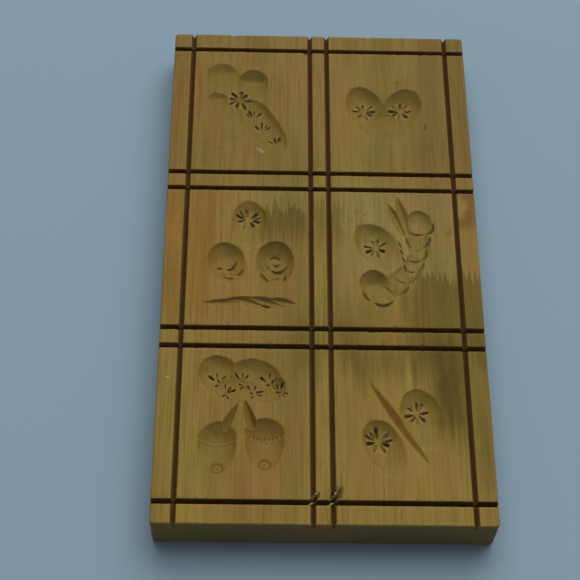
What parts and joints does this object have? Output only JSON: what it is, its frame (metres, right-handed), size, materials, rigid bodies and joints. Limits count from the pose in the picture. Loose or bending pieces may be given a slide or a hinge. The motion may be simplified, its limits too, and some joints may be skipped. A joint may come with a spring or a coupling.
{
  "type": "speculaas mold",
  "caption": "Carved wooden biscuit mold: a hardwood plank ruled by grooves into panels hollowed with petals, a heart, an oak leaf and acorns.",
  "frame": {"origin": "centre of the underside", "axes": "+Z out of the carved face, +Y along the plank to its far end"},
  "size_m": [0.127, 0.23, 0.019],
  "materials": {
    "wood": "matt"
  },
  "bodies": {
    "root": {"mold_board": "wood"}
  },
  "joints": []
}
